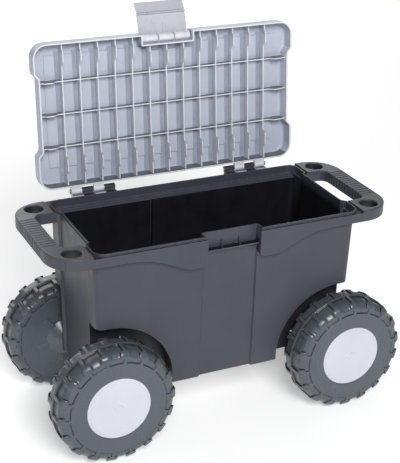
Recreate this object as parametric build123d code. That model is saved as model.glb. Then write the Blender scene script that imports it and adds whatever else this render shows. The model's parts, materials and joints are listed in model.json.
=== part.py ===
from build123d import *
import os

# Rolling workshop seat with a tool tub, in millimetres.
# +X runs along the tub to its right end, +Y to the hinge side, +Z up.
# The origin is on the floor, under the middle of the four tool holes.
# The lid and its latch are drawn shut, then swung to the open rest pose.

# --- driving dimensions: wheels and axles
wheel_radius = 96.0
wheel_offset_x = 201.0
wheel_outer_y = 147.6
wheel_inner_y = 87.4
wheel_wall = 3.0
hub_radius = 12.0
cone_base_radius = 32.5
cone_tip_radius = 14.5
cone_tip_y = 68.5
axle_radius = 6.0
running_gap = 0.07
cap_radius = 50.7
cap_sink = 0.9
cap_thickness = 2.0
cap_seat_depth = cap_sink + cap_thickness

# --- driving dimensions: tub
rim_top = 333.0
rim_shelf = rim_top - 4.0
rim_depth = 19.0
plate_length = 571.0
plate_width = 222.0
plate_corner = 50.0
hole_pitch_x = 500.0
hole_pitch_y = 172.0
hole_radius = 14.9
grip_inner_x = 258.0
gap_half_width = 64.0
gap_corner = 13.0
tub_bottom = 86.5
floor_top = 112.0
wall = 3.0
mid_half_x = (210.5, 216.5)      # at the bottom and at the rim
lobe_half_x = (214.0, 220.5)
body_half_y = (95.5, 98.7)
lobe_start_y = 57.0
arch_radius = 108.0
arch_centre_x = 199.0
arch_wall_y = 66.0
panel_half_width = 46.5
panel_depth = 4.0
flange_back_y = 116.0
skirt_low = 286.0
catch_half_width = 44.5
ledge_z = 305.0
ledge_tip_y = -103.4
pocket_wall_y = -92.5
bead = 2.5
groove_pitch = 8.2
groove_count = 13

# --- driving dimensions: lid, hinge and latch
lid_front_y = -110.8
lid_depth = 232.0
lid_half_length = 225.0
lid_notch_half = 218.0
lid_notch_front_y = -57.0
lid_notch_back_y = 59.0
lid_height = 25.2
lid_skin = 2.4
lid_play = 0.9
lid_rim_z = rim_shelf + 0.3
lid_open_angle = 95.5
rib_pitch = 29.4
rib_wall = 1.8
hinge_y = 129.5
hinge_z = 333.3
hinge_pin_radius = 2.5
barrel_radius = 4.6
knuckle_width = 17.6
knuckle_pitch = 19.0
knuckle_first_x = 108.0
latch_open_angle = 105.0
latch_pin_radius = 2.0
latch_barrel_radius = 6.5
latch_half_width = 41.5
latch_plate = 2.2
recess_half_width = 43.4
latch_pin_y = lid_front_y + 8.5
latch_pin_z = lid_rim_z + 13.0
recess_wall_y = latch_pin_y + latch_barrel_radius + 0.6

lid_back_y = lid_front_y + lid_depth
lid_top_z = lid_rim_z + lid_height
lid_middle_y = (lid_front_y + lid_back_y) / 2
ends = (-1, 1)


def along_x(radius, x_low, x_high, y, z):
    """A cylinder along X."""
    middle = (x_low + x_high) / 2
    return Pos(middle, y, z) * Rot(Y=90) * Cylinder(radius, x_high - x_low)


def along_y(radius, y_low, y_high, x, z):
    """A cylinder along Y."""
    middle = (y_low + y_high) / 2
    return Pos(x, middle, z) * Rot(X=90) * Cylinder(radius, abs(y_high - y_low))


def span(x_range, y_range, z_range):
    """A box given by its low and high corners."""
    sizes = [high - low for low, high in (x_range, y_range, z_range)]
    middle = [(low + high) / 2 for low, high in (x_range, y_range, z_range)]
    return Pos(*middle) * Box(*sizes)


def side_prism(outline, x_low, x_high):
    """A (y, z) outline carried along X."""
    solid = extrude(outline, x_high - x_low, dir=(0, 0, 1))
    return Pos(x_low, 0, 0) * Rot(Y=90) * Rot(Z=90) * solid


def front_prism(outline, y_low, y_high):
    """An (x, z) outline carried along Y."""
    solid = extrude(outline, y_high - y_low, dir=(0, 0, 1))
    return Pos(0, y_high, 0) * Rot(X=90) * solid


def tapered(bottom_half, top_half, z_low, z_high, corner):
    """A rounded block whose half sizes change linearly with height."""
    low = Pos(0, 0, z_low) * RectangleRounded(2 * bottom_half[0], 2 * bottom_half[1], corner)
    high = Pos(0, 0, z_high) * RectangleRounded(2 * top_half[0], 2 * top_half[1], corner)
    return loft([low.face(), high.face()])


def at_height(pair, z):
    """A half size at height z, between its values at the tub's bottom and rim."""
    share = (z - tub_bottom) / (rim_top - tub_bottom)
    return pair[0] + (pair[1] - pair[0]) * share


def swing(y, z, angle):
    """Turns about the X-parallel line through (y, z)."""
    return Pos(0, y, z) * Rot(X=angle) * Pos(0, -y, -z)


def notched(grow, front_y, back_y):
    """The lid's plan outline, grown evenly: narrower between the four corner lobes."""
    half_x = lid_half_length + grow
    notch_x = lid_notch_half + grow
    slope = 9.0
    shift = 0.38 * grow      # keeps the sloped steps' offset even with the sides'
    middle_y = (front_y + back_y) / 2
    corner = 22.0 + grow
    outline = Pos(0, middle_y) * RectangleRounded(2 * half_x, back_y - front_y, corner)
    for side in ends:
        outline -= make_face(
            Polyline(
                (side * notch_x, lid_notch_front_y + shift),
                (side * notch_x, lid_notch_back_y - shift),
                (side * (half_x + 1), lid_notch_back_y - shift + slope),
                (side * (half_x + 1), lid_notch_front_y + shift - slope),
                close=True,
            )
        )
    return outline


def body_block(inset, z_low, z_high):
    """The tub's tapered body: a long middle and four slightly prouder corner lobes."""
    half_y = [at_height(body_half_y, z) - inset for z in (z_low, z_high)]
    mid = [at_height(mid_half_x, z) - inset for z in (z_low, z_high)]
    lobe = [at_height(lobe_half_x, z) - inset for z in (z_low, z_high)]
    corner = 12.0 - inset
    middle = tapered((mid[0], half_y[0]), (mid[1], half_y[1]), z_low, z_high, corner)
    lobes = tapered((lobe[0], half_y[0]), (lobe[1], half_y[1]), z_low, z_high, corner)
    gap = lobe_start_y + inset
    tall = z_high - z_low
    for side in ends:
        cut = make_face(
            Polyline(
                (side * 190, gap - 1),
                (side * mid[0] * 0.99, gap - 1),
                (side * 226, gap + 8),
                (side * 226, -gap - 8),
                (side * mid[0] * 0.99, -gap + 1),
                (side * 190, -gap + 1),
                close=True,
            )
        )
        lobes -= Pos(0, 0, z_low - 1) * extrude(cut, tall + 2, dir=(0, 0, 1))
    return middle + lobes


def arch_block(grow):
    """The four wheel arches: clear space round each wheel, open at the tub's ends."""
    outer_x = 240.0
    radius = arch_radius + grow
    profile = Pos(arch_centre_x, wheel_radius) * Circle(radius)
    low = tub_bottom - 20
    side_x = arch_centre_x - radius
    foot = Pos((side_x + outer_x) / 2, (low + wheel_radius) / 2)
    profile += foot * Rectangle(outer_x - side_x, wheel_radius - low)
    top = wheel_radius + radius
    beside = Pos((arch_centre_x + outer_x) / 2, (low + top) / 2)
    profile += beside * Rectangle(outer_x - arch_centre_x, top - low)
    profile -= Pos(arch_centre_x, low - 200) * Rectangle(600, 400)
    right_back = front_prism(profile, arch_wall_y - grow, 130)
    both = right_back + mirror(right_back, Plane.YZ)
    return both + mirror(both, Plane.XZ)


def centre_panel(depth, half_width, z_low, z_high):
    """The shallow channel down the middle of the front and back walls."""
    low_y = at_height(body_half_y, z_low) - depth
    high_y = at_height(body_half_y, z_high) - depth
    slope = 2.5
    faces = []
    for z, y in ((z_low, low_y), (z_high, high_y)):
        outline = make_face(
            Polyline(
                (-half_width + slope, y),
                (half_width - slope, y),
                (half_width + slope, y + 2 * panel_depth),
                (-half_width - slope, y + 2 * panel_depth),
                close=True,
            )
        )
        faces.append(Pos(0, 0, z) * outline)
    channel = loft([face.face() for face in faces])
    return channel + mirror(channel, Plane.XZ)


def top_plate():
    """The flat rim plate with the two end handles, tool holes and finger gaps."""
    plate = RectangleRounded(plate_length, plate_width, plate_corner)
    gap_length = grip_inner_x - 196
    for side in ends:
        plate -= Pos(side * (grip_inner_x - gap_length / 2), 0) * RectangleRounded(
            gap_length, 2 * gap_half_width, gap_corner
        )
        for end in ends:
            plate -= Pos(side * hole_pitch_x / 2, end * hole_pitch_y / 2) * Circle(hole_radius)
    solid = Pos(0, 0, rim_top - rim_depth) * extrude(plate, rim_depth)
    top = solid.edges().group_by(Axis.Z)[-1]
    bottom = solid.edges().group_by(Axis.Z)[0]
    solid = fillet(top, 1.8)
    bottom = solid.edges().group_by(Axis.Z)[0]
    solid = fillet(bottom, 1.2)
    # The underside is cored out, with collars round the holes and cross ribs.
    core = RectangleRounded(plate_length - 2 * wall, plate_width - 2 * wall, plate_corner - wall)
    core -= Rectangle(2 * 228.5, plate_width)
    for side in ends:
        core -= Pos(side * (grip_inner_x - gap_length / 2), 0) * RectangleRounded(
            gap_length + 2 * wall, 2 * (gap_half_width + wall), gap_corner + wall
        )
        for end in ends:
            core -= Pos(side * hole_pitch_x / 2, end * hole_pitch_y / 2) * Circle(
                hole_radius + wall
            )
        for rib in range(-2, 3):
            core -= Pos(side * 271.0, rib * 24.0) * Rectangle(40, 2)
    solid -= Pos(0, 0, rim_top - rim_depth - 1) * extrude(core, rim_depth - wall + 1)
    return solid


def grip_grooves():
    """Shallow grooves across the top and both sides of each handle."""
    width, depth = 2.2, 1.4
    outer_x = plate_length / 2
    middle_x = (grip_inner_x + outer_x) / 2
    cuts = []
    for side in ends:
        for step in range(groove_count):
            y = (step - (groove_count - 1) / 2) * groove_pitch
            bar = Rot(Y=90) * Cylinder(width, outer_x - grip_inner_x - 4)
            cuts.append(Pos(side * middle_x, y, rim_top + width - depth) * bar)
            post = Cylinder(width, rim_depth + 4)
            middle_z = rim_top - rim_depth / 2
            cuts.append(Pos(side * (outer_x + width - depth), y, middle_z) * post)
            cuts.append(Pos(side * (grip_inner_x - width + depth), y, middle_z) * post)
    return cuts


def front_skirt():
    """The front rim's skirt, which drops in an S-curve towards the catch."""
    outer_y = plate_width / 2
    rim_low = rim_top - rim_depth
    shape = []
    for side in ends:
        line = Polyline(
            (side * 66, skirt_low), (side * (catch_half_width + 8), skirt_low)
        )
        corner = ThreePointArc(
            (side * (catch_half_width + 8), skirt_low),
            (side * (catch_half_width + 2.3), skirt_low + 2.3),
            (side * catch_half_width, skirt_low + 8),
        )
        top = Polyline(
            (side * catch_half_width, skirt_low + 8),
            (side * catch_half_width, rim_shelf),
            (side * 175, rim_shelf),
            (side * 175, rim_low + 0.5),
        )
        curve = Spline(
            (side * 175, rim_low + 0.5),
            (side * 137, rim_low - 3.2),
            (side * 112, rim_low - 11.5),
            (side * 88, rim_low - 22.5),
            (side * 66, skirt_low),
            tangents=[(-side, 0), (-side, 0)],
        )
        shape.append(front_prism(make_face([line, corner, top, curve]), -outer_y, -97.0))
    solid = shape[0] + shape[1]
    # Hollow behind, open below, with a return wall beside the catch.
    for side in ends:
        low, high = sorted((side * (catch_half_width + wall), side * 170))
        hollow = span((low, high), (-outer_y + wall, -80), (skirt_low - 5, rim_low - 1))
        solid -= hollow
    return solid


def seat_outline(grow):
    """Plan outline of the rim bead, following the shut lid from inside."""
    inside = lid_skin + 0.6 - grow
    outline = notched(-inside, lid_front_y + inside, -lid_front_y - inside)
    pocket = recess_half_width + lid_skin + 0.6 - grow
    back = pocket_wall_y - grow
    front = lid_front_y - 5
    return outline - Pos(0, (front + back) / 2) * Rectangle(2 * pocket, back - front)


def lid_outline(grow):
    """Plan outline of the shut lid, with the latch recess in its front edge."""
    outline = notched(grow, lid_front_y - grow, lid_back_y + grow)
    half = recess_half_width - grow
    back = recess_wall_y - grow
    front = lid_front_y - 5
    recess = Pos(0, (back + front) / 2) * Rectangle(2 * half, back - front)
    return outline - recess


def make_tub():
    """The open tub with its rim, handles, catch, arches, floor and hinge brackets."""
    rim_low = rim_top - rim_depth
    outer = body_block(0, tub_bottom, rim_top)
    outer -= centre_panel(panel_depth, panel_half_width, tub_bottom - 2, ledge_z)
    outer -= arch_block(0)
    tub = outer + top_plate()
    flange = span((-222, 222), (90, flange_back_y), (rim_shelf - wall, rim_shelf))
    flange += span((-222, 222), (flange_back_y - wall, flange_back_y), (316, rim_shelf))
    tub += flange
    tub += front_skirt()

    # Hollow: the cavity, the wider rim zone and the space under the floor.
    cavity = body_block(wall, tub_bottom - 2, rim_top + 2)
    filled = centre_panel(panel_depth + wall, panel_half_width + wall, tub_bottom - 4, rim_top + 4)
    cavity -= filled
    cavity -= arch_block(wall)
    cavity -= span((-240, 240), (-120, 120), (floor_top - wall, floor_top))
    tub -= cavity
    opening = seat_outline(-bead)
    ledge_top = 320.0
    ledge_mid = 317.0
    ledge_low = 314.5
    low_half_y = at_height(body_half_y, ledge_low) - wall
    low_half_x = at_height(lobe_half_x, ledge_low) - wall
    widened = Pos(0, 0, ledge_top) * extrude(opening, rim_top - ledge_top + 2)
    tub -= widened
    for end in ends:
        reach_x = lid_half_length - lid_skin - 0.6 - bead - 3.0
        reach_y = -lid_front_y - lid_skin - 0.6 - bead - 3.5
        low_face = Pos(0, end * (low_half_y - 14), ledge_low) * Rectangle(2 * low_half_x, 28)
        mid_face = Pos(0, end * (reach_y - 14), ledge_mid) * Rectangle(2 * reach_x, 28)
        wedge = loft([low_face.face(), mid_face.face()])
        wedge += extrude(mid_face, ledge_top - ledge_mid, dir=(0, 0, 1))
        if end < 0:
            guard = catch_half_width + wall
            wedge -= span((-guard, guard), (-130, 0), (ledge_low - 1, ledge_top + 1))
        tub -= wedge

    # The catch pocket is open to the front; the rim shelf carries the shut lid.
    pocket_low = ledge_z + 2.4
    tub -= span(
        (-catch_half_width, catch_half_width),
        (-130, pocket_wall_y),
        (pocket_low, rim_top + 5),
    )
    tub -= span(
        (-catch_half_width, catch_half_width), (-130, -98.0), (ledge_z - 40, pocket_low)
    )
    shelf = extrude(lid_outline(lid_play), 8)
    half = lid_half_length + lid_play
    for end in ends:
        shelf += span((-half, half), sorted((end * 66, end * 125)), (0, 8))
    shelf -= extrude(seat_outline(0), 8)
    tub -= Pos(0, 0, rim_shelf) * shelf
    tub += catch_ledge()
    tub += hinge_brackets()
    tub += floor_ribs()
    for side in ends:
        for end in ends:
            boss_y = (end * (arch_wall_y - 10), end * (arch_wall_y + 0.5))
            tub += along_y(11.0, min(boss_y), max(boss_y), side * wheel_offset_x, wheel_radius)
        tub -= along_y(axle_radius, -90, 90, side * wheel_offset_x, wheel_radius)
    for cut in grip_grooves():
        tub -= cut
    return tub


def catch_ledge():
    """The lip that the latch's bead snaps under, with two gussets."""
    half = catch_half_width
    wall_y = pocket_wall_y + 1.5
    ledge = span((-half, half), (ledge_tip_y, wall_y), (ledge_z, ledge_z + 2.4))
    ledge += span((-half, half), (pocket_wall_y, pocket_wall_y + bead), (ledge_z, rim_top))
    for x in (-15.0, 15.0):
        gusset = make_face(
            Polyline(
                (wall_y, ledge_z + 2), (ledge_tip_y + 2, ledge_z + 2), (wall_y, ledge_z + 15),
                close=True,
            )
        )
        ledge += side_prism(gusset, x - 1, x + 1)
    return ledge


def knuckle_spans(first):
    """X ranges of every second hinge knuckle, from the given place, both hinges."""
    spans = []
    for side in ends:
        for place in (first, first + 2):
            middle = side * (knuckle_first_x + place * knuckle_pitch)
            spans.append((middle - knuckle_width / 2, middle + knuckle_width / 2))
    return spans


def hinge_brackets():
    """The tub's four hinge knuckles on short arms behind the flange."""
    solid = None
    for x_range in knuckle_spans(0):
        arm = span(x_range, (flange_back_y - 1, hinge_y), (318, rim_shelf - 0.4))
        cut = span(x_range, (flange_back_y + 2, hinge_y + 5), (300, 322))
        arm -= cut
        arm += along_x(barrel_radius, *x_range, hinge_y, hinge_z)
        arm += span(x_range, (hinge_y - 4.4, hinge_y), (322, hinge_z - 2.8))
        arm -= along_x(hinge_pin_radius, *x_range, hinge_y, hinge_z)
        solid = arm if solid is None else solid + arm
    return solid


def floor_ribs():
    """Ribs under the floor: two along the tub that carry the axles, five across."""
    rib_top = floor_top - wall + 0.5
    rib_low = tub_bottom + 0.8
    long_half = at_height(mid_half_x, rib_low) - 1
    solid = span((-long_half, long_half), (20.5, 23.5), (rib_low, rib_top))
    solid += span((-long_half, long_half), (-23.5, -20.5), (rib_low, rib_top))
    for x in (-150, -75, 0, 75, 150):
        reach = arch_wall_y - 1 if abs(x) > 100 else at_height(body_half_y, rib_low) - panel_depth - 1
        solid += span((x - 1.5, x + 1.5), (-reach, reach), (rib_low, rib_top))
    return solid


def s_curve(start, finish):
    """A smooth step between two levels, flat at both ends."""
    middle = (start[0] + finish[0]) / 2
    return Bezier(start, (middle, start[1]), (middle, finish[1]), finish)


def rib_profile(front_y, back_y):
    """Side view of a lid rib: its free edge swells near the front and the hinge."""
    edge_z = lid_rim_z + 9.0
    swell_z = lid_rim_z + 1.2
    shoulder_z = lid_rim_z + 5.2
    top_z = lid_top_z - 1.5
    levels = [
        (front_y, shoulder_z),
        (front_y + 9, shoulder_z),
        (front_y + 16, swell_z),
        (front_y + 27, swell_z),
        (front_y + 39, edge_z),
        (back_y - 52, edge_z),
        (back_y - 40, swell_z),
        (back_y - 26, swell_z),
        (back_y - 18, shoulder_z),
        (back_y, shoulder_z),
    ]
    edge = []
    for start, finish in zip(levels, levels[1:]):
        flat = start[1] == finish[1]
        edge.append(Line(start, finish) if flat else s_curve(start, finish))
    lid_side = Polyline(levels[-1], (back_y, top_z), (front_y, top_z), levels[0])
    return make_face(edge + [lid_side])


def lid_ribs():
    """Thirteen ribs from front to back and three along the lid."""
    solids = []
    for column in range(-6, 7):
        x = column * rib_pitch
        front = lid_front_y + lid_skin
        if abs(x) < recess_half_width:
            front = recess_wall_y + lid_skin
        face = rib_profile(front - 1, lid_back_y - lid_skin + 1)
        solids.append(side_prism(face, x - rib_wall / 2, x + rib_wall / 2))
    edge_z = lid_rim_z + 9.0
    swell_z = lid_rim_z + 1.6
    shoulder_z = lid_rim_z + 5.2
    reach = lid_notch_half - 1
    for depth in (66.0, 118.5, 170.5):
        y = lid_back_y - depth
        outline = make_face(
            Polyline(
                (-reach, lid_top_z - 1.5),
                (-reach, shoulder_z),
                (-reach + 7, shoulder_z),
                (-reach + 10, swell_z),
                (-reach + 23, swell_z),
                (-reach + 30, edge_z),
                (reach - 30, edge_z),
                (reach - 23, swell_z),
                (reach - 10, swell_z),
                (reach - 7, shoulder_z),
                (reach, shoulder_z),
                (reach, lid_top_z - 1.5),
                close=True,
            )
        )
        solids.append(front_prism(outline, y - rib_wall / 2, y + rib_wall / 2))
    return solids


def seat_fields(z_low, inset, height):
    """The sunken fields of the seat panel, one between each two ribs."""
    fields = []
    ridge = 8.0
    for column in range(-7, 7):
        low_x = column * rib_pitch + rib_wall / 2
        high_x = low_x + rib_pitch - rib_wall - ridge
        if column == -7:
            low_x = -202.0
        y_range = (lid_front_y + 22.0, lid_back_y - 30.0)
        if max(abs(low_x), abs(high_x)) < recess_half_width + 12:
            y_range = (recess_wall_y + 14.0, lid_back_y - 30.0)
        fields.append(
            span(
                (low_x + inset, high_x - inset),
                (y_range[0] + inset, y_range[1] - inset),
                (z_low, z_low + height),
            )
        )
    return fields


def make_lid():
    """The hinged seat lid, drawn shut: skirt, slatted panel, ribs and hinge straps."""
    plan = lid_outline(0)
    shell = Pos(0, 0, lid_rim_z) * extrude(plan, lid_height)
    corners = [
        edge
        for edge in shell.edges().filter_by(Axis.Z)
        if abs(edge.center().Y - (lid_notch_front_y + lid_notch_back_y) / 2) < 72
        and abs(edge.center().X) > 200
    ]
    shell = fillet(corners, 7.0)
    shell = fillet(shell.edges().group_by(Axis.Z)[-1], 5.0)
    inner_plan = offset(plan, -lid_skin)
    hollow_height = lid_height - lid_skin - 0.6
    hollow = Pos(0, 0, lid_rim_z - 1) * extrude(inner_plan, hollow_height + 1)
    hollow = fillet(hollow.edges().group_by(Axis.Z)[-1], 3.0)
    sink = 3.0
    field_floor = lid_top_z - sink
    panels = seat_fields(field_floor - lid_skin, 0, lid_skin)
    lid = shell - hollow
    ribs = [rib & hollow for rib in lid_ribs()]
    for piece in ribs + panels:
        lid += piece
    for field in seat_fields(field_floor, 1.6, sink + 1):
        lid -= field

    # Latch bearings: two thin webs between the latch's barrels.
    for x in (-14.0, 14.0):
        web = span((x - 0.6, x + 0.6), (latch_pin_y, recess_wall_y + 1), (337.5, 347.5))
        web += along_x(5.0, x - 0.6, x + 0.6, latch_pin_y, latch_pin_z)
        lid += web
    reach = recess_half_width + lid_skin + 0.6
    lid -= along_x(latch_pin_radius, -reach, reach, latch_pin_y, latch_pin_z)

    # Hinge straps.
    for x_range in knuckle_spans(1):
        strap = span(x_range, (lid_back_y - 1.5, hinge_y), (lid_rim_z + 0.4, hinge_z + 2.0))
        strap += along_x(barrel_radius, *x_range, hinge_y, hinge_z)
        strap -= along_x(hinge_pin_radius + running_gap, *x_range, hinge_y, hinge_z)
        lid += strap
    lid = swing(hinge_y, hinge_z, -lid_open_angle) * lid
    # Stop lugs, drawn open: they meet the flange's back edge and hold the lid up.
    for x_range in knuckle_spans(1):
        lug = span(x_range, (flange_back_y + 0.4, hinge_y), (hinge_z - 7.0, hinge_z - 3.2))
        lug -= along_x(hinge_pin_radius + running_gap, *x_range, hinge_y, hinge_z)
        lid += lug
    return lid


def make_latch():
    """The latch, drawn shut: barrels, plate, centre rib, snap bead and finger lip."""
    outer_y = latch_pin_y - latch_barrel_radius
    inner_y = outer_y + latch_plate
    bead_z = ledge_z - 2.9
    latch = span(
        (-latch_half_width, latch_half_width), (outer_y, inner_y), (bead_z - 3, latch_pin_z)
    )
    lip = make_face(
        Polyline(
            (outer_y, bead_z - 3),
            (inner_y, bead_z - 3),
            (inner_y - 6.2, bead_z - 18),
            (outer_y - 6.4, bead_z - 17.2),
            close=True,
        )
    )
    latch += side_prism(lip, -latch_half_width, latch_half_width)
    ridge = make_face(
        Polyline(
            (inner_y - 0.5, bead_z + 2.2),
            (inner_y + 4.6, bead_z + 2.0),
            (inner_y + 4.9, bead_z + 0.8),
            (inner_y - 0.5, bead_z - 2.4),
            close=True,
        )
    )
    latch += side_prism(ridge, -latch_half_width, latch_half_width)
    latch += span((-0.8, 0.8), (inner_y - 0.5, inner_y + 1.8), (latch_pin_z - 22, latch_pin_z - 5))
    for low, high in ((-latch_half_width, -15.5), (-12.5, 12.5), (15.5, latch_half_width)):
        latch += along_x(latch_barrel_radius, low, high, latch_pin_y, latch_pin_z)
    for x in (-14.0, 14.0):
        latch -= span((x - 1.5, x + 1.5), (outer_y - 1, recess_wall_y), (latch_pin_z - 6, 353))
    bore = latch_pin_radius + running_gap
    latch -= along_x(bore, -50, 50, latch_pin_y, latch_pin_z)
    open_lid = swing(hinge_y, hinge_z, -lid_open_angle)
    return open_lid * swing(latch_pin_y, latch_pin_z, -latch_open_angle) * latch


def make_latch_pin():
    """Steel pin through the lid's recess cheeks and the latch's barrels."""
    reach = recess_half_width + lid_skin + 0.6
    pin = along_x(latch_pin_radius, -reach, reach, latch_pin_y, latch_pin_z)
    return swing(hinge_y, hinge_z, -lid_open_angle) * pin


def make_hinge_pin(side):
    """Steel pin through one hinge's four knuckles, with a small head outside."""
    low = knuckle_first_x - knuckle_width / 2 - 1.0
    high = knuckle_first_x + 3 * knuckle_pitch + knuckle_width / 2 + 0.8
    x_range = sorted((side * low, side * high))
    pin = along_x(hinge_pin_radius, *x_range, hinge_y, hinge_z)
    head = sorted((side * high, side * (high + 1.8)))
    return pin + along_x(4.0, *head, hinge_y, hinge_z)


def make_wheel(x, side):
    """A hollow moulded wheel: rounded tread band, outer ring, inner disc, cone hub."""
    crown = wheel_radius
    face = wheel_outer_y
    back = wheel_inner_y
    shoulder = 13.0
    outer_line = Polyline(
        (axle_radius + running_gap, cone_tip_y),
        (cone_tip_radius, cone_tip_y),
        (cone_base_radius, wheel_inner_y),
        (crown - shoulder, back),
    )
    back_round = ThreePointArc(
        (crown - shoulder, back),
        (crown - shoulder * 0.293, back + shoulder * 0.293),
        (crown, back + shoulder),
    )
    tread = Line((crown, back + shoulder), (crown, face - shoulder))
    face_round = ThreePointArc(
        (crown, face - shoulder),
        (crown - shoulder * 0.293, face - shoulder * 0.293),
        (crown - shoulder, face),
    )
    seat = cap_radius + 0.2
    lip = cap_radius - 1.2
    inner = crown - 2 * wheel_wall
    hub_end = 135.5
    rest = Polyline(
        (crown - shoulder, face),
        (seat, wheel_outer_y),
        (seat, wheel_outer_y - cap_seat_depth),
        (lip, wheel_outer_y - cap_seat_depth),
        (lip, wheel_outer_y - cap_seat_depth - wheel_wall),
        (inner - 7, wheel_outer_y - cap_seat_depth - wheel_wall),
        (inner, wheel_outer_y - 14),
        (inner, wheel_inner_y + 12),
        (inner - 7, wheel_inner_y + wheel_wall),
        (hub_radius + 16, wheel_inner_y + wheel_wall),
        (hub_radius, wheel_inner_y + 16),
        (hub_radius, hub_end),
        (axle_radius + running_gap, hub_end),
        (axle_radius + running_gap, cone_tip_y),
    )
    profile = make_face([outer_line, back_round, tread, face_round, rest])
    # Drawn with radius along X and width along Y, then turned about the axle line.
    wheel = revolve(profile, Axis.Y)
    for spoke in range(6):
        bar = Pos(42.0, wheel_inner_y - 0.8, 0) * Box(22.0, 3.0, 11.0)
        wheel += Rot(Y=60 * spoke + 14) * bar
    if side < 0:
        wheel = mirror(wheel, Plane.XZ)
    return Pos(x, 0, wheel_radius) * wheel


def make_hubcap(x, side):
    """The push-in cap over the hub: a shallow cone with a rim groove, nub and snap ring."""
    face = wheel_outer_y - cap_sink
    ring = cap_radius - 1.5
    nub = 6.2
    rest = Polyline(
        (cap_radius, face),
        (cap_radius - 0.6, face + 0.6),
        (46.6, face + 0.7),
        (46.2, face + 0.3),
        (45.4, face + 0.3),
        (45.0, face + 0.8),
        (nub + 1.0, face + 1.5),
        (nub + 0.5, face + 1.1),
        (nub, face + 1.1),
        (nub - 0.5, face + 1.9),
        (1.0, face + 2.1),
        (0, face + 1.8),
        (0, face - cap_thickness),
        (ring - 2.0, face - cap_thickness),
        (ring - 2.0, face - 8.0),
        (ring - 0.2, face - 8.0),
        (ring, face - 7.0),
        (ring, face - cap_thickness),
        (cap_radius, face - cap_thickness),
        close=True,
    )
    cap = revolve(make_face(rest), Axis.Y)
    if side < 0:
        cap = mirror(cap, Plane.XZ)
    return Pos(x, 0, wheel_radius) * cap


def make_axle(x):
    """A steel axle rod from side to side, with chamfered ends."""
    half = 141.5
    rod = along_y(axle_radius, -half, half, x, wheel_radius)
    return chamfer(rod.edges().filter_by(GeomType.CIRCLE), 1.0)


def make_washer(x, side):
    """A flat washer between the tub's boss and the wheel's hub."""
    y_range = sorted((side * (arch_wall_y + 0.6), side * (cone_tip_y - 0.4)))
    disc = along_y(12.0, *y_range, x, wheel_radius)
    return disc - along_y(axle_radius + 0.2, *y_range, x, wheel_radius)


def make_retainer(x, side):
    """A domed push-on cap nut on the axle's end."""
    y_range = sorted((side * 136.0, side * 143.5))
    nut = along_y(10.5, *y_range, x, wheel_radius)
    outer = nut.faces().sort_by(Axis.Y)[-1 if side > 0 else 0]
    nut = fillet(outer.edges(), 3.0)
    bore = sorted((side * 135.0, side * 141.5))
    return nut - along_y(axle_radius, *bore, x, wheel_radius)


parts = {
    "tub": make_tub(),
    "lid": make_lid(),
    "latch": make_latch(),
    "latch_pin": make_latch_pin(),
    "hinge_pin_left": make_hinge_pin(-1),
    "hinge_pin_right": make_hinge_pin(1),
    "axle_left": make_axle(-wheel_offset_x),
    "axle_right": make_axle(wheel_offset_x),
}
for side_name, side in (("front", -1), ("rear", 1)):
    for end_name, end in (("left", -1), ("right", 1)):
        place = f"{side_name}_{end_name}"
        x = end * wheel_offset_x
        parts[f"wheel_{place}"] = make_wheel(x, side)
        parts[f"hubcap_{place}"] = make_hubcap(x, side)
        parts[f"washer_{place}"] = make_washer(x, side)
        parts[f"retainer_{place}"] = make_retainer(x, side)

os.makedirs("parts", exist_ok=True)
for node, shape in parts.items():
    shape.label = node
    export_step(shape, f"parts/{node}.step")
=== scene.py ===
import json
from math import atan2, cos, pi, radians, sin

import bmesh
import bpy
from mathutils import Matrix, Vector


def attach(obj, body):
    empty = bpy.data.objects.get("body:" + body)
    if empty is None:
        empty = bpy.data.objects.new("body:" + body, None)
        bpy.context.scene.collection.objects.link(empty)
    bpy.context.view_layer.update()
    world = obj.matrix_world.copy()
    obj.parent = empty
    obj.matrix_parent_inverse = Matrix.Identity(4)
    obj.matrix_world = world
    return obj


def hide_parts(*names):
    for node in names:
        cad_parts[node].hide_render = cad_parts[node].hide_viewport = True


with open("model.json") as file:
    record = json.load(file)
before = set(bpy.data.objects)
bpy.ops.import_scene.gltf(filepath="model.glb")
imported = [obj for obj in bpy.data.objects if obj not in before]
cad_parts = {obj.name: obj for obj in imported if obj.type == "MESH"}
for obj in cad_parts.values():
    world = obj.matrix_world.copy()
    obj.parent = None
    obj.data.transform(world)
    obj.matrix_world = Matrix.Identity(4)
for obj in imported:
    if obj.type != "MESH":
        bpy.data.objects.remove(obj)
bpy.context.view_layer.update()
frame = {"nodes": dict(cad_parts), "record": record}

nodes = frame["nodes"]
record = frame["record"]
joint_places = {joint["name"]: joint["pos_m"] for joint in record["behaviour"]["joints"]}
mount_places = {mount["name"]: mount["pos_m"] for mount in record["mounts"]}
scene = bpy.context.scene


# --- shader building blocks ------------------------------------------------------

def new_material(name):
    """An empty node material with a Principled shader on its output."""
    material = bpy.data.materials.new(name)
    material.use_nodes = True
    tree = material.node_tree
    tree.nodes.clear()
    output = tree.nodes.new("ShaderNodeOutputMaterial")
    shader = tree.nodes.new("ShaderNodeBsdfPrincipled")
    tree.links.new(shader.outputs["BSDF"], output.inputs["Surface"])
    return material, tree, shader


def noise(tree, size, detail=3.0, roughness=0.55, stretch=(1, 1, 1), distortion=0.0):
    """Object-space noise with features about that many metres across."""
    coordinates = tree.nodes.new("ShaderNodeTexCoord")
    mapping = tree.nodes.new("ShaderNodeMapping")
    mapping.inputs["Scale"].default_value = stretch
    texture = tree.nodes.new("ShaderNodeTexNoise")
    texture.inputs["Scale"].default_value = 1.0 / size
    texture.inputs["Detail"].default_value = detail
    texture.inputs["Roughness"].default_value = roughness
    texture.inputs["Distortion"].default_value = distortion
    tree.links.new(coordinates.outputs["Object"], mapping.inputs["Vector"])
    tree.links.new(mapping.outputs["Vector"], texture.inputs["Vector"])
    return texture.outputs["Fac"]


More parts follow.
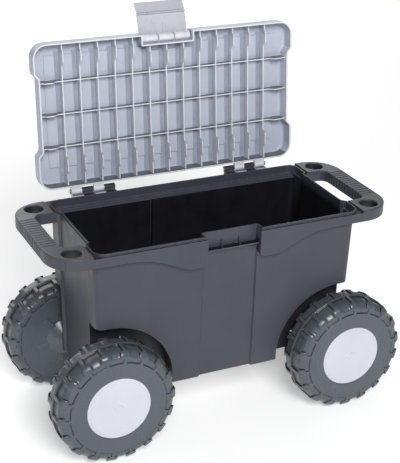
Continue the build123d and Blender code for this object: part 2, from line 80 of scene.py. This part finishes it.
def scaled(tree, value, low, high, to_low, to_high):
    """Maps a value from one range to another, clamped."""
    spread = tree.nodes.new("ShaderNodeMapRange")
    spread.inputs["From Min"].default_value = low
    spread.inputs["From Max"].default_value = high
    spread.inputs["To Min"].default_value = to_low
    spread.inputs["To Max"].default_value = to_high
    tree.links.new(value, spread.inputs["Value"])
    return spread.outputs["Result"]


def fade(tree, value, zero_at, one_at):
    """Zero from zero_at outwards and one from one_at outwards, whichever is larger."""
    return scaled(tree, value, zero_at, one_at, 0.0, 1.0)


def ramp(tree, value, low, high, stops):
    """Maps a value between low and high onto colours at even steps."""
    colours = tree.nodes.new("ShaderNodeValToRGB")
    elements = colours.color_ramp.elements
    while len(elements) < len(stops):
        elements.new(0.5)
    for step, stop in enumerate(stops):
        elements[step].position = step / (len(stops) - 1)
        elements[step].color = (*stop, 1.0)
    tree.links.new(fade(tree, value, low, high), colours.inputs["Fac"])
    return colours.outputs["Color"]


def calculated(tree, operation, *values):
    """A math node on values that are sockets or plain numbers."""
    node = tree.nodes.new("ShaderNodeMath")
    node.operation = operation
    for place, value in enumerate(values):
        if isinstance(value, float):
            node.inputs[place].default_value = value
        else:
            tree.links.new(value, node.inputs[place])
    return node.outputs["Value"]


def product(tree, first, *others):
    """All the values multiplied together."""
    for other in others:
        first = calculated(tree, "MULTIPLY", first, other)
    return first


def absolute(tree, value):
    """The size of a value without its sign."""
    return calculated(tree, "ABSOLUTE", value)


def mixed(tree, factor, first, second):
    """Mixes two colour outputs by a factor output."""
    mix = tree.nodes.new("ShaderNodeMix")
    mix.data_type = "RGBA"
    tree.links.new(factor, mix.inputs["Factor"])
    tree.links.new(first, mix.inputs["A"])
    tree.links.new(second, mix.inputs["B"])
    return mix.outputs["Result"]


def tinted(tree, colour, layers):
    """Lays mottled colours over a colour, each where its mask is one."""
    for mask, first, second, size in layers:
        over = ramp(tree, noise(tree, size, 4.0, 0.6), 0.3, 0.7, (first, second))
        colour = mixed(tree, mask(tree), colour, over)
    return colour


def rounded_normal(tree, radius):
    """The surface normal with the shape's edges rounded off."""
    bevel = tree.nodes.new("ShaderNodeBevel")
    bevel.samples = 6
    bevel.inputs["Radius"].default_value = radius
    return bevel.outputs["Normal"]


def edge_mask(tree, radius):
    """One along the shape's sharp edges, zero on its faces."""
    geometry = tree.nodes.new("ShaderNodeNewGeometry")
    dot = tree.nodes.new("ShaderNodeVectorMath")
    dot.operation = "DOT_PRODUCT"
    tree.links.new(rounded_normal(tree, radius), dot.inputs[0])
    tree.links.new(geometry.outputs["Normal"], dot.inputs[1])
    return fade(tree, dot.outputs["Value"], 0.995, 0.8)


def bumps(tree, shader, layers, round_radius):
    """Rounds the edges, then stacks bump layers of (height, strength, distance)."""
    normal = rounded_normal(tree, round_radius)
    for height, strength, distance in layers:
        bump = tree.nodes.new("ShaderNodeBump")
        bump.inputs["Strength"].default_value = strength
        bump.inputs["Distance"].default_value = distance
        tree.links.new(height, bump.inputs["Height"])
        tree.links.new(normal, bump.inputs["Normal"])
        normal = bump.outputs["Normal"]
    tree.links.new(normal, shader.inputs["Normal"])


def place_and_normal(tree):
    """The point's and the normal's X, Y and Z parts in the object's own space."""
    coordinates = tree.nodes.new("ShaderNodeTexCoord")
    point = tree.nodes.new("ShaderNodeSeparateXYZ")
    tree.links.new(coordinates.outputs["Object"], point.inputs["Vector"])
    normal = tree.nodes.new("ShaderNodeSeparateXYZ")
    tree.links.new(coordinates.outputs["Normal"], normal.inputs["Vector"])
    return point.outputs, normal.outputs


# --- masks by place: each pair says where the mask is zero and where it is one -------

def interior_shade(tree):
    """One on the tub's inner walls and floor, where deep shade is painted on."""
    end_wall, side_wall = (0.2185, 0.2155), (0.107, 0.1055)
    floor, rim = (0.110, 0.1115), (0.331, 0.314)
    point, normal = place_and_normal(tree)
    across, along = absolute(tree, point["X"]), absolute(tree, point["Y"])
    outward = calculated(
        tree, "ADD", product(tree, point["X"], normal["X"]), product(tree, point["Y"], normal["Y"])
    )
    inward = fade(tree, outward, -0.02, -0.05)
    facing = calculated(tree, "MAXIMUM", inward, fade(tree, normal["Z"], 0.3, 0.6))
    # The channels' inner steps face away from the middle.
    step_start, step_end, step_depth = (0.0466, 0.0469), (0.0508, 0.0503), (0.0947, 0.0943)
    step = product(
        tree, fade(tree, across, *step_start), fade(tree, across, *step_end),
        fade(tree, along, *step_depth),
    )
    facing = calculated(tree, "MAXIMUM", facing, step)
    # The ledge under the rim is kept out of the painted shade and stays as pale as the outside.
    ledge_back, ledge_level = (0.0945, 0.0955), (0.3135, 0.3145)
    ledge = product(tree, fade(tree, along, *ledge_back), fade(tree, point["Z"], *ledge_level))
    facing = product(tree, facing, fade(tree, ledge, 1.0, 0.0))
    return product(
        tree, fade(tree, across, *end_wall), fade(tree, along, *side_wall),
        fade(tree, point["Z"], *floor), fade(tree, point["Z"], *rim), facing,
    )


def shelf_shade(tree):
    """One on the shelf and bead that the shut lid covers, where shade is painted on."""
    lid_end, shelf_level = (0.2264, 0.2254), (0.3270, 0.3285)
    point, normal = place_and_normal(tree)
    along = fade(tree, absolute(tree, point["X"]), *lid_end)
    high = fade(tree, point["Z"], *shelf_level)
    return product(tree, along, high, fade(tree, normal["Z"], 0.2, 0.6))


def tool_hole_shade(tree):
    """One on the walls of the four tool holes, where shade is painted on."""
    reach, brim = (0.0156, 0.0152), (0.3320, 0.3285)
    middle_x, middle_y, _ = mount_places["tool_hole_rear_right"]
    point, normal = place_and_normal(tree)
    bands = []
    for axis, middle in (("X", middle_x), ("Y", middle_y)):
        offset = calculated(tree, "SUBTRACT", absolute(tree, point[axis]), middle)
        bands.append(fade(tree, absolute(tree, offset), *reach))
    deep = fade(tree, point["Z"], *brim)
    steep = fade(tree, absolute(tree, normal["Z"]), 0.9, 0.5)
    return product(tree, *bands, deep, steep)


def wheel_arch_shade(tree):
    """One on the hollow side of the four wheel arches, where shade is painted on."""
    start, wall, back, crown = (0.088, 0.090), (0.0950, 0.0930), (0.0640, 0.0648), (0.2058, 0.2050)
    point, _ = place_and_normal(tree)
    along = absolute(tree, point["Y"])
    return product(
        tree, fade(tree, absolute(tree, point["X"]), *start), fade(tree, along, *wall),
        fade(tree, along, *back), fade(tree, point["Z"], *crown),
    )


def lid_inner_mask(tree, point):
    """One in the open lid between its side walls and below its front wall."""
    side_wall, front_wall = (0.2165, 0.2155), (0.556, 0.553)
    across = fade(tree, absolute(tree, point["X"]), *side_wall)
    return product(tree, across, fade(tree, point["Z"], *front_wall))


def lid_depth(tree, point):
    """A point's Y without the open lid's lean, so that it grows with depth into the lid."""
    lean, level = 0.0963, 0.03213
    return calculated(
        tree, "ADD", point["Y"], calculated(tree, "MULTIPLY_ADD", point["Z"], -lean, level)
    )


def rib_edge_highlight(tree):
    """One on the free edges of the lid's ribs and on its rim, where highlights are painted on."""
    point, normal = place_and_normal(tree)
    near = fade(tree, lid_depth(tree, point), 0.1385, 0.1365)
    return product(tree, fade(tree, normal["Y"], -0.5, -0.8), near)


def long_rib_top_shade(tree):
    """One on the open lid's upward faces inside: the long ribs' tops and the rear wall, where
    shade is painted on.
    """
    point, normal = place_and_normal(tree)
    return product(tree, lid_inner_mask(tree, point), fade(tree, normal["Z"], 0.5, 0.8))


def lit_rib_faces(tree):
    """One on the left faces of the thirteen short ribs, where light is painted on, less with
    depth.
    """
    point, normal = place_and_normal(tree)
    leftward = fade(tree, normal["X"], -0.6, -0.9)
    shallow = scaled(tree, lid_depth(tree, point), 0.1360, 0.1475, 1.0, 0.2)
    return product(tree, lid_inner_mask(tree, point), leftward, shallow)


def rib_channel_shade(tree):
    """One on the floors of the channels that run along the left of the short ribs, where shade is
    painted on.
    """
    rib_pitch, rib_half, channel, last_rib = 0.0294, 0.0009, (0.0202, 0.0207), (0.1860, 0.1850)
    point, normal = place_and_normal(tree)
    from_rib = calculated(tree, "WRAP", point["X"], rib_pitch - rib_half, -rib_half)
    return product(
        tree, fade(tree, from_rib, *channel), fade(tree, normal["Y"], -0.6, -0.9),
        lid_inner_mask(tree, point), fade(tree, absolute(tree, point["X"]), *last_rib),
    )


def barrel_highlight(tree):
    """One on the latch's barrels, round its pin, where a highlight is painted on."""
    outside, inside = 0.0072, 0.0067
    _, pin_y, pin_z = joint_places["latch_hinge"]
    point, _ = place_and_normal(tree)
    squares = []
    for axis, middle in (("Y", pin_y), ("Z", pin_z)):
        offset = calculated(tree, "SUBTRACT", point[axis], middle)
        squares.append(product(tree, offset, offset))
    return fade(tree, calculated(tree, "ADD", *squares), outside ** 2, inside ** 2)


def tread_groove_shade(tree):
    """One in the creases beside the tread's ridges, where shade is painted on."""
    attribute = tree.nodes.new("ShaderNodeAttribute")
    attribute.attribute_name = "recess_shade"
    return attribute.outputs["Fac"]


def lit_upper_faces(tree):
    """One on the rim plate's and handles' upper faces, where light is painted on."""
    plate_level = (0.3300, 0.3322)
    point, normal = place_and_normal(tree)
    return product(tree, fade(tree, point["Z"], *plate_level), fade(tree, normal["Z"], 0.5, 0.9))


# --- materials -----------------------------------------------------------------

def moulded_plastic(name, dark, light, abraded_and_highlit, roughness, grain, grain_strength,
                    round_radius, edge_radius, waviness=0.15, under=(), over=()):
    """Moulded plastic: mottled colour, satin grain, faint sink waves, scuffed edges that also
    carry painted highlights.

    under and over are tints of painted light and shade, laid on before and after the scuffed
    edges."""
    material, tree, shader = new_material(name)
    cloud = noise(tree, size=0.09, detail=4.0, roughness=0.6)
    speck = noise(tree, size=0.0035, detail=2.0, roughness=0.7)
    body = ramp(tree, cloud, 0.3, 0.7, (dark, light))
    spotted = ramp(tree, speck, 0.35, 0.65, (tuple(c * 0.93 for c in light), light))
    colour = mixed(tree, scaled(tree, speck, 0.4, 0.75, 0.0, 0.4), body, spotted)
    colour = tinted(tree, colour, under)
    # The scuffed edges are part abrasion, part painted highlight lines.
    scuff = noise(tree, 0.012, 5.0, 0.75, stretch=(1.0, 1.0, 0.35), distortion=0.6)
    abraded_and_highlit_tone = ramp(tree, scuff, 0.3, 0.7, (light, abraded_and_highlit))
    patchy = scaled(tree, scuff, 0.35, 0.65, 0.35, 0.8)
    abrasion_and_highlight_mask = product(tree, edge_mask(tree, edge_radius), patchy)
    colour = tinted(tree, mixed(tree, abrasion_and_highlight_mask, colour, abraded_and_highlit_tone), over)
    tree.links.new(colour, shader.inputs["Base Color"])
    smear = noise(tree, 0.03, 5.0, 0.65, stretch=(1.0, 1.0, 0.5), distortion=0.4)
    tree.links.new(scaled(tree, smear, 0.3, 0.7, *roughness), shader.inputs["Roughness"])
    shader.inputs["Specular IOR Level"].default_value = 0.5
    fine = noise(tree, grain, 2.0, 0.6)
    wave = noise(tree, 0.025, 1.5, 0.4)
    bumps(tree, shader, ((wave, waviness, 0.0008), (fine, grain_strength, 0.00012)), round_radius)
    return material, shader


def steel(name, colour, roughness, stretch):
    """Bright steel with drawn lines along the stretch's short scale."""
    material, tree, shader = new_material(name)
    lines = noise(tree, 0.0012, 3.0, 0.6, stretch)
    spots = noise(tree, 0.006, 4.0, 0.7)
    dull = tuple(c * 0.72 for c in colour)
    tree.links.new(ramp(tree, spots, 0.3, 0.7, (dull, colour)), shader.inputs["Base Color"])
    tree.links.new(scaled(tree, lines, 0.3, 0.7, *roughness), shader.inputs["Roughness"])
    shader.inputs["Metallic"].default_value = 1.0
    bumps(tree, shader, ((lines, 0.3, 0.00005),), 0.0003)
    return material


def let_light_in(shader, weight):
    """Gives a pale plastic a little light from under its surface."""
    shader.inputs["Subsurface Weight"].default_value = weight
    shader.inputs["Subsurface Radius"].default_value = (0.004, 0.004, 0.005)


tub_plastic, _ = moulded_plastic(
    "tub_plastic", (0.043, 0.047, 0.063), (0.053, 0.057, 0.075), (0.26, 0.265, 0.295),
    (0.38, 0.52), grain=0.0009, grain_strength=0.42, round_radius=0.0006, edge_radius=0.0013,
    under=(
        # Painted light on the rim plate's and handles' tops, painted shade on the shelf.
        (lit_upper_faces, (0.085, 0.088, 0.102), (0.105, 0.108, 0.124), 0.02),
        (shelf_shade, (0.014, 0.014, 0.019), (0.024, 0.024, 0.031), 0.03),
    ),
    over=(
        # Painted shade inside the tub, in the tool holes and under the wheel arches.
        (interior_shade, (0.003, 0.003, 0.006), (0.007, 0.007, 0.011), 0.05),
        (tool_hole_shade, (0.008, 0.008, 0.012), (0.014, 0.014, 0.019), 0.02),
        (wheel_arch_shade, (0.016, 0.017, 0.023), (0.024, 0.025, 0.032), 0.03),
    ),
)
lid_plastic, lid_shader = moulded_plastic(
    "lid_plastic", (0.46, 0.49, 0.575), (0.52, 0.55, 0.635), (0.86, 0.88, 0.94),
    (0.4, 0.52), grain=0.0006, grain_strength=0.12, round_radius=0.0006, edge_radius=0.0009,
    under=(
        # Painted shade in the channels and on the long ribs' tops, painted light on the short
        # ribs.
        (rib_channel_shade, (0.29, 0.31, 0.375), (0.35, 0.375, 0.445), 0.02),
        (lit_rib_faces, (0.66, 0.69, 0.76), (0.74, 0.77, 0.83), 0.02),
        (long_rib_top_shade, (0.10, 0.107, 0.135), (0.16, 0.17, 0.205), 0.02),
        (rib_edge_highlight, (0.68, 0.70, 0.765), (0.77, 0.79, 0.85), 0.01),
    ),
)
let_light_in(lid_shader, 0.15)
latch_plastic, latch_shader = moulded_plastic(
    "latch_plastic", (0.50, 0.515, 0.56), (0.56, 0.575, 0.62), (0.80, 0.81, 0.85),
    (0.24, 0.36), grain=0.0006, grain_strength=0.1, round_radius=0.0005, edge_radius=0.0008,
    # A painted highlight on the barrels.
    under=((barrel_highlight, (0.68, 0.69, 0.73), (0.78, 0.79, 0.83), 0.01),),
)
let_light_in(latch_shader, 0.25)
wheel_plastic, _ = moulded_plastic(
    "wheel_plastic", (0.073, 0.087, 0.102), (0.084, 0.099, 0.114), (0.17, 0.185, 0.2),
    (0.19, 0.34), grain=0.0006, grain_strength=0.18, waviness=0.25, round_radius=0.0003,
    edge_radius=0.0006,
    # Painted shade in the tread's creases.
    over=((tread_groove_shade, (0.016, 0.018, 0.022), (0.024, 0.027, 0.032), 0.01),),
)
cap_plastic, _ = moulded_plastic(
    "cap_plastic", (0.57, 0.59, 0.64), (0.63, 0.65, 0.70), (0.40, 0.42, 0.46),
    (0.42, 0.55), grain=0.0005, grain_strength=0.1, waviness=0.1, round_radius=0.0002,
    edge_radius=0.0005,
)
axle_steel = steel("axle_steel", (0.56, 0.57, 0.59), (0.25, 0.42), stretch=(1.0, 0.04, 1.0))
pin_steel = steel("pin_steel", (0.62, 0.62, 0.63), (0.22, 0.4), stretch=(1.0, 1.0, 1.0))

SLOTS = {
    "tub_plastic": tub_plastic,
    "lid_plastic": lid_plastic,
    "latch_plastic": latch_plastic,
    "wheel_plastic": wheel_plastic,
    "cap_plastic": cap_plastic,
    "axle_steel": axle_steel,
    "pin_steel": pin_steel,
}

for part in record["subparts"]:
    mesh = nodes[part["node"]].data
    if not mesh.materials:
        mesh.materials.append(None)
    for place in range(len(mesh.materials)):
        mesh.materials[place] = SLOTS[part["material_slot"]]


# --- wheels ---------------------------------------------------------------------

RIDGES = 18
PITCH = 2 * pi / RIDGES

# Radii of the tread's crown, its rounded shoulder and the disc's parts.
CROWN = 0.0957
SHOULDER = 0.0135
DISC_EDGE = 0.076
CAP_SEAT = 0.0507
CONE_RING = 0.030

# How far the wheel's middle plane and its outer face lie from the part's middle.
MID_Y = 0.1175
FACE_Y = 0.1476
HALF = FACE_Y - MID_Y

# Distances along the tread's outline: disc, shoulder and crown.
FLAT = CROWN - SHOULDER - DISC_EDGE
BEND = SHOULDER * pi / 2
CROWN_LENGTH = HALF - SHOULDER
TREAD_LENGTH = FLAT + BEND + CROWN_LENGTH

# Where the ridges widen into lugs and narrow into bars again.
WIDEN = FLAT + SHOULDER * radians(8)
NARROW = FLAT + SHOULDER * radians(58)


def wheel_row(distance):
    """Radius, height above the wheel's middle plane and outward normal along the tread.

    distance runs from the disc's edge of the tread, over the shoulder, to the middle."""
    if distance <= FLAT:
        return DISC_EDGE + distance, HALF, (0.0, 1.0)
    if distance <= FLAT + BEND:
        a = (distance - FLAT) / SHOULDER
        radius = CROWN - SHOULDER + SHOULDER * sin(a)
        return radius, HALF - SHOULDER + SHOULDER * cos(a), (sin(a), cos(a))
    return CROWN, HALF - SHOULDER - (distance - FLAT - BEND), (1.0, 0.0)


def smooth(value, low, high):
    """Zero below low, one above high, eased between."""
    t = min(max((value - low) / (high - low), 0.0), 1.0)
    return t * t * (3 - 2 * t)


def ridge_half_width(distance):
    """Half the ridge's width, in metres, along the tread."""
    neck, lug, bar = 0.0022, 0.0074, 0.0030
    rise = smooth(distance, WIDEN - 0.0007, WIDEN + 0.0016)
    fall = smooth(distance, NARROW - 0.0008, NARROW + 0.002)
    return neck + (lug - neck) * rise + (bar - lug) * fall


def recess_depth(distance):
    """How deep the panels between the ridges lie, along the tread."""
    disc_depth, crown_extra = 0.0013, 0.0019
    start = smooth(distance, 0.0, 0.0009)
    end = 1.0 - smooth(distance, TREAD_LENGTH - 0.0029, TREAD_LENGTH - 0.0021)
    depth = disc_depth + crown_extra * smooth(distance, FLAT - 0.002, FLAT + 0.5 * BEND)
    return depth * start * end


def tread_distances():
    """Where the rows of the tread mesh lie: closest where ridges and panels change."""
    closest = 0.00012
    rows = {0.0, 0.0003, 0.0006, 0.0009, 0.003, 0.0055, FLAT, FLAT + BEND}
    rows |= {TREAD_LENGTH - back for back in (0.0, 0.0008, 0.0018, 0.0021, 0.0025, 0.0029)}
    rows |= {WIDEN + on for on in (-0.0007, -0.0001, 0.0005, 0.0011, 0.0016)}
    rows |= {NARROW + on for on in (-0.0008, 0.0, 0.0007, 0.0014, 0.002)}
    rows |= {FLAT + BEND * step / 12 for step in range(1, 12)}
    rows |= {FLAT + BEND + (CROWN_LENGTH - 0.003) * step / 3 for step in range(1, 3)}
    kept = []
    for row in sorted(rows):
        if not kept or row - kept[-1] > closest:
            kept.append(row)
    return kept


def tread_ring(distance, phase, side):
    """A ring of (point, shade) pairs, with the panels pressed in between the ridges and their
    walls marked for painted shade.
    """
    radius, height, (out_r, out_h) = wheel_row(distance)
    half = ridge_half_width(distance) / radius
    slope = 0.0010 / radius
    depth = recess_depth(distance)
    # Angle from the ridge's middle, and the share of the panel's depth there.
    columns = (
        (-0.5 * PITCH, 1.0),
        (-0.5 * (half + slope + 0.5 * PITCH), 1.0),
        (-(half + slope), 1.0),
        (-(half + slope * 0.7), 0.86),
        (-(half + slope * 0.3), 0.14),
        (-half, 0.0),
        (-0.4 * half, 0.0),
        (0.4 * half, 0.0),
        (half, 0.0),
        (half + slope * 0.3, 0.14),
        (half + slope * 0.7, 0.86),
        (half + slope, 1.0),
        (0.5 * (half + slope + 0.5 * PITCH), 1.0),
    )
    edge_row = 0.0002 < distance < 0.0012 or distance > TREAD_LENGTH - 0.0031
    ring = []
    for ridge in range(RIDGES):
        for turn, share in columns:
            angle = phase + ridge * PITCH + turn
            r = radius - out_r * depth * share
            h = height - out_h * depth * share
            # The panels' walls and ends are marked for the painted shade in the tread's creases.
            wall = 0.1 < share < 0.95 or edge_row and share > 0.1
            recess_shade = 1.0 if wall and depth > 0.0002 else 0.0
            ring.append((Vector((r * cos(angle), side * h, r * sin(angle))), recess_shade))
    return ring


def plain_ring(radius, height, angles):
    """A ring of (point, shade) pairs at the given angles, without any painted shade."""
    return [(Vector((radius * cos(a), height, radius * sin(a))), 0.0) for a in angles]


def add_strip(mesh, rings, flip):
    """Joins rings of (point, shade) pairs into a band of quads, keeping each point's painted-shade
    weight.
    """
    layer = mesh.verts.layers.float["recess_shade"]
    made = []
    for ring in rings:
        row = []
        for point, recess_shade in ring:
            row.append(mesh.verts.new(point))
            row[-1][layer] = recess_shade
        made.append(row)
    for low, high in zip(made, made[1:]):
        count = len(low)
        for place in range(count):
            following = (place + 1) % count
            face = [low[place], low[following], high[following], high[place]]
            mesh.faces.new(face if flip else face[::-1]).smooth = True


def add_revolved(mesh, outline, count):
    """A band turned round the wheel's axis from (radius, height) points."""
    angles = [2 * pi * step / count for step in range(count)]
    add_strip(mesh, [plain_ring(radius, height, angles) for radius, height in outline], False)


def add_bar(mesh, angle, start, end, half_width, base, top):
    """A raised bar with drafted sides and rounded shoulders, along a radius."""
    rounding, draft = 0.0008, 0.0006
    outline = (
        (half_width, base), (half_width - draft, top + rounding),
        (half_width - draft - rounding, top), (-half_width + draft + rounding, top),
        (-half_width + draft, top + rounding), (-half_width, base),
    )
    # Radius, share of the height lost and width lost at each side.
    stations = (
        (start, 0.0, 0.0), (end - 0.0014, 0.0, 0.0), (end - 0.0004, 0.3, 0.0006),
        (end, 1.0, 0.0009),
    )
    rings = []
    for radius, drop, narrow in stations:
        ring = []
        for across, height in outline:
            level = height + (base - height) * drop
            wide = across * (1 - narrow / half_width)
            ring.append(mesh.verts.new(Vector((
                radius * cos(angle) - wide * sin(angle), level,
                radius * sin(angle) + wide * cos(angle),
            ))))
        rings.append(ring)
    for low, high in zip(rings, rings[1:]):
        for place in range(len(low) - 1):
            mesh.faces.new((low[place], low[place + 1], high[place + 1], high[place]))


def add_tread(mesh, rows, side, phase):
    """One side's disc and tread, from the cap's seat outside or the hub's cone inside."""
    if side == 1:
        disc = [(CAP_SEAT, HALF - 0.004), (CAP_SEAT, HALF - 0.0005), (CAP_SEAT + 0.0005, HALF)]
    else:
        disc = [(CONE_RING, HALF)]
    disc += [(radius, HALF) for radius in (0.0545, 0.062, 0.069, 0.0745, 0.0754)]
    angles = [atan2(point.z, point.x) for point, _ in tread_ring(0.0, phase, side)]
    rings = [plain_ring(radius, side * height, angles) for radius, height in disc]
    rings += [tread_ring(row, phase, side) for row in rows]
    add_strip(mesh, rings, side == 1)


def wheel_mesh(name, side, phase):
    """A blow-moulded wheel: disc, staggered tread panels, seam rib, hub cone and spokes."""
    mesh = bmesh.new()
    mesh.verts.layers.float.new("recess_shade")
    rows = tread_distances()
    add_tread(mesh, rows, 1, phase)
    add_tread(mesh, rows, -1, phase + 0.5 * PITCH)
    # The seam rib round the crown.
    rib = [
        (CROWN - 0.0004, 0.0011), (CROWN + 0.0001, 0.0008), (CROWN + 0.00028, 0.0003),
        (CROWN + 0.00028, -0.0003), (CROWN + 0.0001, -0.0008), (CROWN - 0.0004, -0.0011),
    ]
    add_revolved(mesh, rib, 180)
    # The hub's cone and bore on the inner side.
    inner = -HALF
    cone = [
        (0.0332, inner), (0.0325, inner - 0.0004), (0.0150, inner - 0.0184),
        (0.0141, inner - 0.0189), (0.0068, inner - 0.0189), (0.0061, inner - 0.0183),
        (0.0061, inner + 0.012),
    ]
    add_revolved(mesh, cone, 72)
    # Six raised bars round the cone.
    for spoke in range(6):
        add_bar(
            mesh, angle=radians(60 * spoke + 14), start=0.031, end=0.0525, half_width=0.0055,
            base=inner, top=inner - 0.0023,
        )
    if side < 0:
        mirror = Matrix.Scale(-1, 4, Vector((0, 1, 0)))
        bmesh.ops.transform(mesh, matrix=mirror, verts=mesh.verts)
        bmesh.ops.reverse_faces(mesh, faces=mesh.faces)
    bmesh.ops.recalc_face_normals(mesh, faces=mesh.faces)
    data = bpy.data.meshes.new(name)
    mesh.to_mesh(data)
    mesh.free()
    return data


for place, side, phase in (
    ("front_left", -1, 3.1),
    ("front_right", -1, 9.5),
    ("rear_left", 1, 7.0),
    ("rear_right", 1, 15.0),
):
    axle_x, _, axle_z = joint_places[f"{place}_spin"]
    data = wheel_mesh(f"tread_wheel_{place}", side, radians(phase))
    data.transform(Matrix.Translation((axle_x, side * MID_Y, axle_z)))
    data.materials.append(wheel_plastic)
    wheel = bpy.data.objects.new(f"tread_wheel_{place}", data)
    scene.collection.objects.link(wheel)
    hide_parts(f"wheel_{place}")
    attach(wheel, f"{place}_wheel")


# --- floor, light and camera ------------------------------------------------------

def stage_material():
    """A pale studio sheet with a faint paper tooth, lit a little from within."""
    material, tree, shader = new_material("studio_paper")
    tooth = noise(tree, 0.004, 3.0, 0.6)
    cloud = noise(tree, 0.6, 2.0, 0.5)
    paper = ramp(tree, cloud, 0.3, 0.7, ((0.9, 0.9, 0.905), (0.93, 0.93, 0.93)))
    tree.links.new(paper, shader.inputs["Base Color"])
    tree.links.new(scaled(tree, tooth, 0.3, 0.7, 0.85, 0.95), shader.inputs["Roughness"])
    bump = tree.nodes.new("ShaderNodeBump")
    bump.inputs["Strength"].default_value = 0.05
    bump.inputs["Distance"].default_value = 0.0002
    tree.links.new(tooth, bump.inputs["Height"])
    tree.links.new(bump.outputs["Normal"], shader.inputs["Normal"])
    shader.inputs["Emission Color"].default_value = (1.0, 1.0, 1.0, 1.0)
    shader.inputs["Emission Strength"].default_value = 0.37
    return material


def add_stage():
    """A wide, flat floor of nine panels."""
    sheet = bmesh.new()
    made = []
    for y in (-6.0, -2.0, 2.0, 6.0):
        made.append([sheet.verts.new((x, y, 0.0)) for x in (-8.0, -2.5, 2.5, 8.0)])
    for low, high in zip(made, made[1:]):
        for place in range(len(low) - 1):
            sheet.faces.new((low[place], low[place + 1], high[place + 1], high[place]))
    data = bpy.data.meshes.new("studio_floor")
    sheet.to_mesh(data)
    sheet.free()
    data.materials.append(stage_material())
    floor = bpy.data.objects.new("studio_floor", data)
    scene.collection.objects.link(floor)


def add_area(name, location, target, size, power):
    """A rectangular soft light pointed at the target."""
    light = bpy.data.lights.new(name, "AREA")
    light.shape = "RECTANGLE"
    light.size, light.size_y = size
    light.energy = power
    lamp = bpy.data.objects.new(name, light)
    lamp.location = location
    aim = Vector(target) - Vector(location)
    lamp.rotation_mode = "QUATERNION"
    lamp.rotation_quaternion = aim.to_track_quat("-Z", "Y")
    scene.collection.objects.link(lamp)


def add_world():
    """An even white studio dome."""
    world = bpy.data.worlds.new("studio")
    world.use_nodes = True
    background = world.node_tree.nodes["Background"]
    background.inputs["Color"].default_value = (1.0, 1.0, 1.0, 1.0)
    background.inputs["Strength"].default_value = 0.12
    scene.world = world


def add_camera():
    """The camera that looks down on the front left of the object."""
    azimuth, elevation, roll = radians(-26.0), radians(24.48), radians(1.75)
    target, distance = Vector((-0.00519, 0.0, 0.28972)), 1.91557
    back = Vector((
        sin(azimuth) * cos(elevation), -cos(azimuth) * cos(elevation), sin(elevation)
    ))
    level_right = Vector((cos(azimuth), sin(azimuth), 0.0))
    level_up = back.cross(level_right)
    right = cos(roll) * level_right + sin(roll) * level_up
    up = -sin(roll) * level_right + cos(roll) * level_up
    lens = bpy.data.cameras.new("camera")
    lens.sensor_width = 36.0
    lens.lens = 94.15
    lens.clip_start, lens.clip_end = 0.05, 100.0
    camera = bpy.data.objects.new("camera", lens)
    pose = Matrix((right, up, back)).transposed().to_4x4()
    pose.translation = target + back * distance
    camera.matrix_world = pose
    scene.collection.objects.link(camera)
    scene.camera = camera


add_stage()
add_world()
seat_middle = (0.0, 0.0, 0.3)
add_area("key", (-0.7, -2.9, 2.5), seat_middle, size=(1.6, 1.2), power=118.0)
add_area("backdrop", (0.3, 3.4, 1.9), seat_middle, size=(4.0, 2.2), power=70.0)
add_camera()
scene.view_settings.view_transform = "Standard"
